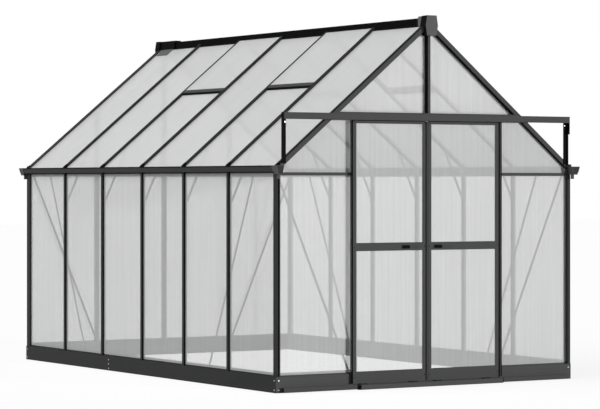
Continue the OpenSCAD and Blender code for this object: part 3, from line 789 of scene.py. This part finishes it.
@dataclass
class RoofTrim(Fitting):
    """Black strips on the roof bars and gable rafters, painted shade on their caps; plugs in their
    feet; and black strips under the gable rafters, painted shade on their undersides.
    """

    strip_w: float = 13 * MM
    strip_h: float = 0.9 * MM
    strip_gap: float = 1 * MM
    rafter_strip_x: float = 52 * MM
    rafter_strip_margin: float = 2 * MM
    plug_l: float = 18 * MM
    plug_wall: float = 1.6 * MM
    plug_reach: float = 8 * MM
    cuff_gap: float = 0.6 * MM
    cuff_extra: float = 1 * MM
    cuff_depths: Pair = (2 * MM, 15 * MM)
    shade_strip_t: float = 0.9 * MM
    shade_strip_gap: float = 1 * MM
    shade_strip_ends_x: Pair = (12 * MM, 1172 * MM)

    def build(self) -> None:
        """Add the strips, the plugs and the gaskets."""
        self._strips()
        self._plugs()
        self._gaskets()

    def _strips(self) -> None:
        """Lay a black strip along the cap of every bar and of every gable rafter: painted shade on
        the caps.
        """
        house, piece = self.house, Piece()
        low_x = house.rafter_end_x - self.plug_l
        bars = [(house.ridge_half + self.strip_gap, y, 0.0, self.strip_w) for y in house.bar_ys]
        rafter_y = house.gable_y - house.wall_sheet / 2
        rafter_w = house.wall_sheet - self.rafter_strip_margin
        rafters = [
            (self.rafter_strip_x, end * rafter_y, house.rafter_top, rafter_w) for end in SIDES
        ]
        for runs in (bars, rafters):
            for side in SIDES:
                for high_x, y, depth, width in runs:
                    ends = house.roof_points(side, y, ((high_x, depth), (low_x, depth)))
                    piece.bead(*ends, house.roof_out(side), width, self.strip_h)
        self.rubber("roof_bar_shade_strips", piece)

    def _plugs(self) -> None:
        """Close the foot of every bar and of every gable rafter, which also has a cuff."""
        house, piece = self.house, Piece()
        end_x = house.rafter_end_x
        x0, x1 = end_x - self.plug_l, end_x + self.plug_reach
        half = house.cap_half + self.plug_wall
        plug = oblong((x0, -self.plug_wall), (x1, house.roof_sheet))
        cuff = oblong((x0, self.cuff_depths[0]), (x1, self.cuff_depths[1]))
        for side in SIDES:
            for y in house.bar_ys:
                section = house.roof_points(side, y - half, plug)
                piece.prism(section, (0.0, 2 * half, 0.0))
            for end in SIDES:
                face_y = end * house.gable_y
                spots = ((end_x, house.rafter_top), (end_x, house.rafter_foot))
                section = house.roof_points(side, face_y, spots)
                section += [(side * x1, y, z) for _, y, z in reversed(section)]
                piece.prism(section, (0.0, -end * house.wall_sheet, 0.0))
                section = house.roof_points(side, end * (house.gable_y + self.cuff_gap), cuff)
                piece.prism(section, (0.0, -end * (house.wall_sheet + self.cuff_extra), 0.0))
        self.rubber("roof_bar_plugs", piece)

    def _gaskets(self) -> None:
        """Line the underside of the gable rafters in front of the sheets with black strips:
        painted shade under the rafters.
        """
        house, piece = self.house, Piece()
        foot, gap = house.rafter_foot, self.shade_strip_gap
        near_x, far_x = self.shade_strip_ends_x
        spans = (
            (near_x, house.roof_x(house.header_z1 + gap, foot), house.gable_sheet),
            (house.roof_x(house.header_z0 - gap, foot), far_x, house.wall_sheet),
        )
        for side in SIDES:
            for end in SIDES:
                for x0, x1, depth in spans:
                    spots = oblong((x0, foot), (x1, foot + self.shade_strip_t))
                    section = house.roof_points(side, end * house.gable_y, spots)
                    piece.prism(section, (0.0, -end * depth, 0.0))
        self.rubber("gable_rafter_shade_strips", piece)


@dataclass
class WallTrim(Fitting):
    """Black strips beside the wall posts, the king post and the jambs: painted shade on their
    sides.
    """

    shade_strip_t: float = 0.9 * MM
    gap: float = 0.5 * MM
    king_half: float = 10 * MM
    jamb_x: float = 604 * MM
    jamb_z0: float = 36 * MM

    def build(self) -> None:
        """Add the strips of the long walls and of the front gable."""
        house, piece = self.house, Piece()
        cap_under = house.side_x - house.cap_t - self.gap
        sheet_x = house.side_x - house.side_sheet
        for side in SIDES:
            for y in house.bar_ys:
                for edge in SIDES:
                    y0 = y + edge * house.cap_half
                    piece.box(
                        (side * sheet_x, y0, house.base_top + self.gap),
                        (side * cap_under, y0 + edge * self.shade_strip_t, house.eave_z - self.gap),
                    )
        self.rubber("wall_post_shade_strips", piece)
        piece = Piece()
        top_z = house.roof_z(self.king_half + self.shade_strip_t, house.rafter_foot)
        front_y = self.gap - house.gable_y
        for side in SIDES:
            for x, z0, z1, sheet in (
                (self.king_half, house.header_z1, top_z, house.gable_sheet),
                (self.jamb_x, self.jamb_z0, house.header_z0, house.wall_sheet),
            ):
                piece.box(
                    (side * x, front_y, z0),
                    (side * (x + self.shade_strip_t), sheet - house.gable_y, z1),
                )
        self.rubber("gable_flank_shade_strips", piece)


@dataclass
class RidgeCapSeals(Fitting):
    """Rubber skirts, hoods and collars at the moulded caps of the ridge."""

    half_top: float = 38 * MM
    half_mid: float = 49 * MM
    top_rise: float = 29 * MM
    mid_drop: float = 39 * MM
    foot_drop: float = 108 * MM
    skirt_front_y: float = 1928 * MM
    skirt_top_gap: float = 2 * MM
    skin: float = 0.8 * MM
    gable_gap: float = 0.5 * MM
    hood_y: float = 1864 * MM
    hood_gap: float = 1 * MM
    collar_front_y: float = 1808 * MM
    collar_back_y: float = 1640 * MM
    collar_half: float = 31 * MM
    collar_rise: float = 27 * MM
    collar_chamfer: Pair = (6 * MM, 7 * MM)
    wing_x: Pair = (26 * MM, 88 * MM)
    wing_y: Pair = (1662 * MM, 1835 * MM)
    wing_t: float = 4 * MM

    def build(self) -> None:
        """Add the skirts, the hoods, the collars and the saddle's wings."""
        self._skirts()
        self._hoods()
        self._collars()

    def _skirts(self) -> None:
        """Add a skirt to each side of both caps."""
        house, piece = self.house, Piece()
        top = house.apex_z + self.top_rise - self.skirt_top_gap
        mid, foot = house.apex_z - self.mid_drop, house.apex_z - self.foot_drop
        inner = [(self.half_top, foot), (self.half_mid, mid), (self.half_top, top)]
        shape = inner + [(x + self.skin, z) for x, z in reversed(inner)]
        for end in SIDES:
            y0, y1 = end * self.skirt_front_y, end * (house.gable_y + self.gable_gap)
            for side in SIDES:
                piece.prism([(side * x, y0, z) for x, z in shape], (0.0, y1 - y0, 0.0))
        self.rubber("ridge_cap_skirts", piece)

    def _hoods(self) -> None:
        """Add the dark body of each cap, round the ends of the rafters."""
        house, piece = self.house, Piece()
        half_top, half_mid = self.half_top + self.skin, self.half_mid + self.skin
        top = house.apex_z + self.top_rise - self.hood_gap
        mid, foot = house.apex_z - self.mid_drop, house.apex_z - self.foot_drop + self.hood_gap
        right = [(half_top, foot), (half_mid, mid), (half_top, top)]
        shape = right + [(-x, z) for x, z in reversed(right)]
        for end in SIDES:
            y0, y1 = end * (house.gable_y + self.gable_gap), end * self.hood_y
            piece.prism([(x, y0, z) for x, z in shape], (0.0, y1 - y0, 0.0))
        self.rubber("ridge_cap_hoods", piece)

    def _collar(self, piece: Piece, start_y: float, end_y: float) -> None:
        """Add a collar that straddles the ridge, down to the slopes.

        Args:
            piece: the mesh that takes it.
            start_y: where it starts along the house.
            end_y: where it ends.
        """
        house, half = self.house, self.collar_half
        top, (chamfer_x, chamfer_z) = house.apex_z + self.collar_rise, self.collar_chamfer
        right = [
            (half, house.roof_z(half, house.roof_sheet)),
            (half, top - chamfer_z),
            (half - chamfer_x, top),
        ]
        shape = right + [(-x, z) for x, z in reversed(right)]
        piece.prism([(x, start_y, z) for x, z in shape], (0.0, end_y - start_y, 0.0))

    def _collars(self) -> None:
        """Add the collars behind both caps, and the wings of the rear one."""
        piece = Piece()
        self._collar(piece, -self.hood_y, -self.collar_front_y)
        (x0, x1), (y0, y1) = self.wing_x, self.wing_y
        deep = self.house.roof_sheet
        for side in SIDES:
            spots = oblong((x0, deep), (x1, deep - self.wing_t))
            piece.prism(self.house.roof_points(side, y0, spots), (0.0, y1 - y0, 0.0))
        piece.place("ridge_collars", self.palette.collar, Slot.MOULDED)
        piece = Piece()
        self._collar(piece, self.collar_back_y, self.hood_y)
        self.rubber("ridge_rear_collar", piece)


@dataclass
class GutterTrim(Fitting):
    """Dark lip trim along both gutters, dark panels on their caps that paint shade on the caps'
    fronts, and screws under them.
    """

    lip_x: float = 1242 * MM
    foot_x: float = 1229 * MM
    lip_drop: float = 0.3 * MM
    trim_w: float = 7 * MM
    trim_t: float = 0.8 * MM
    cap_front_y: float = 1950 * MM
    panel_t: float = 0.7 * MM
    panel: tuple[Pair, ...] = (
        (1184 * MM, 1490 * MM),
        (1242 * MM, 1490 * MM),
        (1225 * MM, 1437 * MM),
        (1193 * MM, 1437 * MM),
    )
    screw_out: float = 12 * MM
    head: Pair = (5 * MM, 3 * MM)

    def build(self) -> None:
        """Add the trim, the panels and the screws."""
        house, trim, panels, screws = self.house, Piece(), Piece(), Piece()
        lean = (self.lip_x - self.foot_x) / (house.gutter_top_z - house.eave_z)
        z1 = house.gutter_top_z - self.lip_drop
        lip = oblong((z1 - self.trim_w, 0.0), (z1, self.trim_t))
        for side in SIDES:
            section = [
                (side * (self.lip_x + lean * (z - house.gutter_top_z) + t), -house.gable_y, z)
                for z, t in lip
            ]
            trim.prism(section, (0.0, 2 * house.gable_y, 0.0))
            for end in SIDES:
                section = [(side * x, end * self.cap_front_y, z) for x, z in self.panel]
                panels.prism(section, (0.0, end * self.panel_t, 0.0))
            for y in house.bar_ys:
                seat = (side * (house.side_x + self.screw_out), y, house.eave_z)
                screws.screw(seat, (0, 0, -1), self.head)
        self.rubber("gutter_lip_trim", trim)
        # The panels take the darker wall coat: painted shade on the caps' fronts.
        panels.place("gutter_cap_shade_panels", self.palette.wall, Slot.MOULDED)
        screws.place("gutter_screws", self.palette.strut, Slot.FRAME)


@dataclass
class VentShadeStrips(Fitting):
    """Black strips along the lower edges of the roof vents: painted shade in the gap under each
    vent's bottom bar.
    """

    edge_x: float = 524 * MM
    depths: Pair = (3 * MM, 14.5 * MM)
    thick: float = 2 * MM
    inset: float = 14 * MM

    def build(self) -> None:
        """Add a strip to every vent."""
        house, piece = self.house, Piece()
        ys = house.bar_ys
        spots = oblong((self.edge_x, self.depths[0]), (self.edge_x + self.thick, self.depths[1]))
        for side in SIDES:
            for bay in house.vent_bays:
                y0, y1 = ys[bay - 1] + self.inset, ys[bay] - self.inset
                piece.prism(house.roof_points(side, y0, spots), (0.0, y1 - y0, 0.0))
        self.rubber("vent_shade_strips", piece)


# ------------------------------------------------------------------ the doors


@dataclass
class DoorwayShadeStripsAndBolts(Fitting):
    """Black strips on the jambs and on the threshold's chamfered ends, painted shade beside the
    leaves and on the chamfers, and bolts that hold the head rail.
    """

    jamb_brushes: tuple[Pair, ...] = ((585 * MM, 589 * MM), (601 * MM, 604 * MM))
    clear: float = 0.4 * MM
    foot_z: float = 42 * MM
    bolt: Point = (1146.5 * MM, -1901.5 * MM, 1778 * MM)
    bolt_head: Pair = (6.5 * MM, 3.2 * MM)
    step_half: float = 580 * MM
    step_d: float = 19 * MM
    step_h: float = 30 * MM
    step_z0: float = 1 * MM
    skin: float = 1 * MM

    def build(self) -> None:
        """Add the jamb strips and the threshold skins of painted shade, and the bolts."""
        house, brushes, bolts, skins = self.house, Piece(), Piece(), Piece()
        near, far = self.step_half, self.step_half + self.step_d
        front, back, skin, z0 = house.track_y - self.step_d, house.track_y, self.skin, self.step_z0
        for side in SIDES:
            for x0, x1 in self.jamb_brushes:
                brushes.box(
                    (side * x0, -house.gable_y, self.foot_z),
                    (side * x1, house.leaf_back_y + self.clear, house.header_z0),
                )
            x, y, z = self.bolt
            bolts.screw((side * x, y, z), FORWARD, self.bolt_head)
            section = [
                (side * near, front, z0),
                (side * far, back, z0),
                (side * (far + skin), back - skin, z0),
                (side * (near + skin), front - skin, z0),
            ]
            skins.prism(section, (0.0, 0.0, self.step_h))
        self.rubber("jamb_brushes", brushes)
        bolts.place("rail_bolts", self.palette.zinc, Slot.RAIL)
        self.rubber("threshold_end_shade_skins", skins)


@dataclass
class ExtrusionRibs(Fitting):
    """Fine raised ribs along the base plates, the head rail and the kick rails."""

    rib_w: float = 2.2 * MM
    rib_h: float = 0.7 * MM
    base_x: float = 1210 * MM
    base_y: float = 1893 * MM
    base_zs: tuple[float, ...] = (10 * MM, 32 * MM, 54 * MM, 76 * MM, 98 * MM)
    base_margin: float = 45 * MM
    base_joint: Pair = (470 * MM, 530 * MM)
    doorway: float = 606 * MM
    rail_half: float = 1168 * MM
    rail_zs: tuple[float, ...] = (1803 * MM, 1819 * MM, 1835 * MM)
    kick_zs: tuple[float, ...] = (56 * MM, 72 * MM, 88 * MM, 104 * MM)
    stile_w: float = 17 * MM

    def build(self) -> None:
        """Add the ribs of every extrusion."""
        house, palette = self.house, self.palette
        reach_x, reach_y = self.base_x - self.base_margin, self.base_y - self.base_margin
        sides, front, rail = Piece(), Piece(), Piece()
        for z in self.base_zs:
            for side in SIDES:
                x = side * self.base_x
                for y0, y1 in ((-reach_y, self.base_joint[0]), (self.base_joint[1], reach_y)):
                    self._rib(sides, (x, y0, z), (x, y1, z), (side, 0.0, 0.0))
            y = self.base_y
            self._rib(sides, (-reach_x, y, z), (reach_x, y, z), (0.0, 1.0, 0.0))
        # The ribs take the coat of the plate or rail they lie on: the darker side coat is painted
        # shade, the lighter base and rail coats painted light.
        sides.place("base_side_ribs", palette.wall, Slot.BASE)
        for z in self.base_zs[1:]:
            for side in SIDES:
                x0, x1 = side * self.doorway, side * reach_x
                self._rib(front, (x0, -self.base_y, z), (x1, -self.base_y, z), FORWARD)
        front.place("base_front_ribs", palette.base, Slot.BASE)
        for z in self.rail_zs:
            start, end = (-self.rail_half, house.track_y, z), (self.rail_half, house.track_y, z)
            self._rib(rail, start, end, FORWARD)
        rail.place("head_rail_ribs", palette.rail, Slot.RAIL)
        for body, left_x, _ in house.leaves:
            kick, y = Piece(), house.leaf_front_y
            x0, x1 = left_x + self.stile_w, left_x + house.leaf_w - self.stile_w
            for z in self.kick_zs:
                self._rib(kick, (x0, y, z), (x1, y, z), FORWARD)
            kick.place(f"{body.value}_ribs", palette.frame, Slot.FRAME, body)

    def _rib(self, piece: Piece, start: Point, end: Point, out: Point) -> None:
        """Add one rib between two points of a face."""
        piece.bead(start, end, out, self.rib_w, self.rib_h)


@dataclass
class BraceBolts(Fitting):
    """Bolts that hold the knee braces."""

    foot: Pair = (1172 * MM, 1255 * MM)
    top_x: float = 1010 * MM
    top_depth: float = 32 * MM
    side_gap: float = 12 * MM
    head: Pair = (5 * MM, 3 * MM)

    def build(self) -> None:
        """Add the bolts to one mesh."""
        house, piece = self.house, Piece()
        top = (self.top_x, house.roof_z(self.top_x, self.top_depth))
        for side in SIDES:
            for y in house.bar_ys:
                for x, z in (self.foot, top):
                    piece.screw((side * x, y - self.side_gap, z), FORWARD, self.head)
        piece.place("brace_bolts", self.palette.strut, Slot.FRAME)


@dataclass
class Leaf(Fitting):
    """Seals, black strips of painted shade at the top and edges, screws, pin heads and handle grip
    of one sliding leaf.
    """

    body: Body
    left_x: float
    handle_x: float
    foot_z: float = 40 * MM
    top_z: float = 1792 * MM
    margin: float = 1 * MM
    lip_in: float = 25 * MM
    kick_z: float = 119 * MM
    mid_z: Pair = (924 * MM, 975 * MM)
    rail_foot_z: float = 1776 * MM
    sheet_y: float = -1919.5 * MM
    bead_w: float = 1.5 * MM
    bead_h: float = 1.2 * MM
    shade_brush_h: float = 4.4 * MM
    shade_brush_t: float = 2.4 * MM
    shade_brush_set_back: float = 0.3 * MM
    edge_t: float = 0.9 * MM
    edge_back_gap: float = 0.6 * MM
    meeting_reach: float = 8.2 * MM
    meeting_set_back: float = 7 * MM
    meeting_lip: float = 0.6 * MM
    stile_mid: float = 8.5 * MM
    foot_screw: float = 40 * MM
    top_screw: float = 8 * MM
    screw_head: Pair = (3.6 * MM, 1.8 * MM)
    hanger_inset: float = 90 * MM
    pin_z: float = 1810.9 * MM
    pin_y: float = -1924.5 * MM
    pin_l: float = 22 * MM
    pin_head: Pair = (5 * MM, 1.2 * MM)
    grip_z: float = 935 * MM
    grip_h: float = 23 * MM
    grip_l: float = 61 * MM
    grip_d: float = 8 * MM
    grip_t: float = 0.5 * MM
    grip_margin: float = 0.6 * MM
    recess_l: float = 30 * MM
    recess_edge: float = 4 * MM
    recess_floor: Pair = (1.5 * MM, 0.4 * MM)
    tail_ribs: int = 4
    tail_pitch: float = 6 * MM
    tail_inset: float = 3 * MM
    tail_rib: Pair = (2.6 * MM, 0.8 * MM)

    @property
    def right_x(self) -> float:
        """The leaf's right edge."""
        return self.left_x + self.house.leaf_w

    def build(self) -> None:
        """Add the leaf's small pieces."""
        self._gaskets()
        self._brushes()
        self._screws()
        self._grip()

    def _gaskets(self) -> None:
        """Frame both sheets with a rubber bead in front."""
        piece, y, half = Piece(), self.sheet_y, self.bead_w / 2
        x0, x1 = self.left_x + self.lip_in, self.right_x - self.lip_in
        for z0, z1 in ((self.kick_z, self.mid_z[0]), (self.mid_z[1], self.rail_foot_z)):
            runs = [((x0, y, z), (x1, y, z)) for z in (z0 + half, z1 - half)]
            runs += [((x, y, z0), (x, y, z1)) for x in (x0 + half, x1 - half)]
            for start, end in runs:
                piece.bead(start, end, FORWARD, self.bead_w, self.bead_h)
        self.rubber(f"{self.body.value}_gaskets", piece, self.body)

    def _brushes(self) -> None:
        """Add the brush on the leaf's top, its edge seal and the left leaf's meeting brush: black
        strips that paint the shade over the leaf's top, on its outer edge and at the meeting edge.
        """
        piece, gap, thick = Piece(), self.margin, self.shade_brush_t
        left, right = self.left_x, self.right_x
        front, back = self.house.leaf_front_y, self.house.leaf_back_y
        foot, head = self.foot_z + gap, self.top_z - gap
        is_left = self.body is Body.LEFT_DOOR
        outer, reach = (left, -self.edge_t) if is_left else (right, self.edge_t)
        top_y, meeting_y = front + self.shade_brush_set_back, front + self.meeting_set_back
        tip_z = self.top_z + self.shade_brush_h
        boxes = [
            ((left + gap, top_y, self.top_z), (right - gap, top_y + thick, tip_z)),
            ((outer, front + gap, foot), (outer + reach, back - self.edge_back_gap, head)),
        ]
        if is_left:
            boxes += [
                ((right, meeting_y, foot), (right + self.meeting_reach, meeting_y + thick, head)),
                ((right - thick, front - self.meeting_lip, foot), (right, front, head)),
            ]
        for low, high in boxes:
            piece.box(low, high)
        self.rubber(f"{self.body.value}_brushes", piece, self.body)

    def _screws(self) -> None:
        """Add the screws of the leaf's stiles and the heads of the roller pins."""
        screws, pins = Piece(), Piece()
        heights = (self.foot_z + self.foot_screw, sum(self.mid_z) / 2, self.top_z - self.top_screw)
        for x in (self.left_x + self.stile_mid, self.right_x - self.stile_mid):
            for z in heights:
                screws.screw((x, self.house.leaf_front_y, z), FORWARD, self.screw_head)
        screws.place(f"{self.body.value}_screws", self.palette.strut, Slot.FRAME, self.body)
        for x in (self.left_x + self.hanger_inset, self.right_x - self.hanger_inset):
            for y, direction in ((self.pin_y, -1), (self.pin_y + self.pin_l, 1)):
                pins.screw((x, y, self.pin_z), (0, direction, 0), self.pin_head)
        pins.place(f"{self.body.value}_pin_heads", self.palette.zinc, Slot.ROLLER, self.body)

    def _grip(self) -> None:
        """Line the finger recess of the handle with black, painted shade in the recess; frame it
        and rib its tail.
        """
        piece, front = Piece(), self.house.leaf_front_y
        x, z0, z1 = self.handle_x, self.grip_z, self.grip_z + self.grip_h
        recess_x0, recess_z0 = x + self.recess_edge, z0 + self.recess_edge
        recess_x1, recess_z1 = recess_x0 + self.recess_l, z1 - self.recess_edge
        depth, thick = self.recess_floor
        floor_y = front - depth
        # Black floor of the finger recess: painted shade in the recess.
        piece.box((recess_x0, floor_y - thick, recess_z0), (recess_x1, floor_y, recess_z1))
        back_y = front - self.grip_d
        face_y = back_y - self.grip_t
        x0, x1 = x + self.grip_margin, x + self.grip_l - self.grip_margin
        foot, top = z0 + self.grip_margin, z1 - self.grip_margin
        for (xa, za), (xb, zb) in (
            ((x0, foot), (recess_x0, top)),
            ((recess_x0, foot), (recess_x1, recess_z0)),
            ((recess_x0, recess_z1), (recess_x1, top)),
            ((recess_x1, foot), (x1, top)),
        ):
            piece.box((xa, face_y, za), (xb, back_y, zb))
        low, high = z0 + self.tail_inset, z1 - self.tail_inset
        for i in range(self.tail_ribs):
            rib_x = recess_x1 + self.tail_inset + self.tail_pitch * i
            piece.bead((rib_x, face_y, low), (rib_x, face_y, high), FORWARD, *self.tail_rib)
        self.rubber(f"{self.body.value}_handle_grip", piece, self.body, Slot.HANDLE)


# ------------------------------------------------------------------ studio


@dataclass
class Studio:
    """Floor, backdrop, lamps and camera."""

    eye: Point = (-9.7814, -16.1556, 1.378)
    yaw_deg: float = 31.546
    lens_mm: float = 152.62
    sensor_mm: float = 36.0
    shift_y: float = -0.0362
    view_reach: float = 200.0
    floor_half: float = 60.0
    floor_colour: Colour = (0.6, 0.6, 0.6)
    floor_shade: float = 0.4
    floor_glow: float = 0.84
    world_fill: float = 0.2
    world_seen: float = 1.0
    # Name, strength, spread in degrees and direction of each lamp
    lamps: tuple[tuple[str, float, float, Point], ...] = (
        ("key", 2.2, 3.0, (0.468, -0.88, 0.07)),
        ("top", 1.7, 60.0, (-0.78, 0.1, 0.62)),
    )

    def build(self) -> None:
        """Set up the whole stage."""
        self._camera()
        self._world()
        self._floor()
        self._lamps()
        bpy.context.scene.view_settings.view_transform = "Standard"

    def _camera(self) -> None:
        """Place the camera, level, at the viewing angle."""
        data = bpy.data.cameras.new("camera")
        data.lens = self.lens_mm
        data.sensor_width = self.sensor_mm
        data.shift_y = self.shift_y
        data.clip_end = self.view_reach
        camera = bpy.data.objects.new("camera", data)
        bpy.context.scene.collection.objects.link(camera)
        camera.location = self.eye
        camera.rotation_euler = (math.radians(90.0), 0.0, math.radians(-self.yaw_deg))
        bpy.context.scene.camera = camera

    def _world(self) -> None:
        """Light all round, seen as plain white."""
        graph = ShaderGraph(bpy.data.worlds.new("studio"))
        fill, seen = (
            graph.node(
                "ShaderNodeBackground", None, {"Color": (1.0, 1.0, 1.0, 1.0), "Strength": strength}
            )["Background"]
            for strength in (self.world_fill, self.world_seen)
        )
        bpy.context.scene.world = graph.surface(graph.blend(graph.seen(), fill, seen))

    def _floor(self) -> None:
        """A pale floor that keeps the shadow."""
        mesh, reach = bmesh.new(), self.floor_half
        corners = oblong((-reach, -reach), (reach, reach))
        mesh.faces.new([mesh.verts.new((x, y, 0.0)) for x, y in corners])
        graph = ShaderGraph(bpy.data.materials.new("pale_floor"))
        plain_floor, seen_floor = (
            graph.node("ShaderNodeBsdfDiffuse", None, {"Color": (*colour, 1.0)})["BSDF"]
            for colour in (self.floor_colour, tint(self.floor_colour, self.floor_shade))
        )
        glow = graph.node("ShaderNodeEmission", None, {"Strength": self.floor_glow})["Emission"]
        lit = graph.node("ShaderNodeAddShader", None, {0: seen_floor, 1: glow})["Shader"]
        material = graph.surface(graph.blend(graph.seen(), plain_floor, lit))
        floor = add_object("floor", mesh, material)

    def _lamps(self) -> None:
        """A key lamp from the front right and a soft one from above."""
        for name, strength, spread_deg, direction in self.lamps:
            data = bpy.data.lights.new(name, "SUN")
            data.energy = strength
            data.angle = math.radians(spread_deg)
            lamp = bpy.data.objects.new(name, data)
            bpy.context.scene.collection.objects.link(lamp)
            lamp.rotation_euler = Vector(direction).to_track_quat("Z", "Y").to_euler()


def main(frame: dict[str, Any]) -> None:
    """Dress the frame, add the fittings and set up the studio.
    """
    logging.basicConfig(level=logging.INFO, format="%(name)s: %(message)s")
    palette, house = Palette(), House()
    DressedFrame(palette, frame["nodes"]).build()
    fittings = (
        BaseFixings, RoofTrim, WallTrim, RidgeCapSeals, GutterTrim, VentShadeStrips,
        DoorwayShadeStripsAndBolts, ExtrusionRibs, BraceBolts,
    )
    for fitting in fittings:
        fitting(palette, house).build()
    for body, left_x, handle_x in house.leaves:
        Leaf(palette, house, body, left_x, handle_x).build()
    Studio().build()


if __name__ == "__main__":
    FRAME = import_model()
    main(FRAME)
